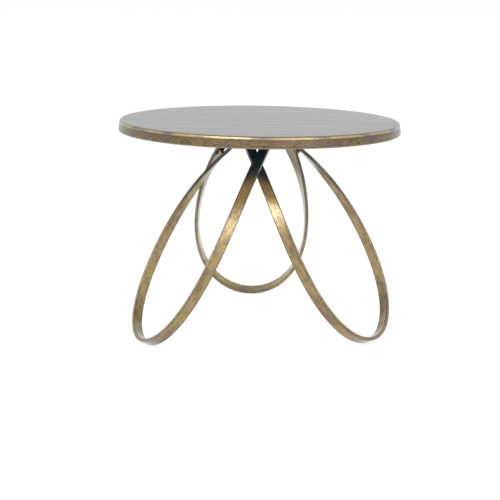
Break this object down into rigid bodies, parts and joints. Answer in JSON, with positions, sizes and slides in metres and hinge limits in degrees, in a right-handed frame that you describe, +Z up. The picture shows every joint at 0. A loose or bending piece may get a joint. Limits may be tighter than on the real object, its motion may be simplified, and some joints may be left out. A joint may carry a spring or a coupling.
{
  "type": "cake stand",
  "caption": "Round metal cake stand: a flat plate with a turned-down rim on a base of open petal loops bent from flat strip.",
  "frame": {"origin": "on the floor, at the centre of the bounding box's bottom, which is the plate's axis", "axes": "+Z up, along the plate's axis; +Y towards the foot of the back petal"},
  "size_m": [0.2048, 0.2048, 0.155],
  "materials": {
    "plate_gold": "satin antique gold, softly brushed and worn, with brown smudges on the rim",
    "petal_gold": "satin antique gold, mottled brown and grey, darker at the edges",
    "weld_gold": "darker antique gold over rough weld beads"
  },
  "bodies": {
    "root": {"cake_plate": "plate_gold", "petal_back": "petal_gold", "petal_left": "petal_gold", "petal_right": "petal_gold", "crossing_weld_back_left": "weld_gold", "crossing_weld_left_right": "weld_gold", "crossing_weld_right_back": "weld_gold", "plate_weld_back_inner": "weld_gold", "plate_weld_back_outer": "weld_gold", "plate_weld_left_inner": "weld_gold", "plate_weld_left_outer": "weld_gold", "plate_weld_right_inner": "weld_gold", "plate_weld_right_outer": "weld_gold"}
  },
  "joints": []
}
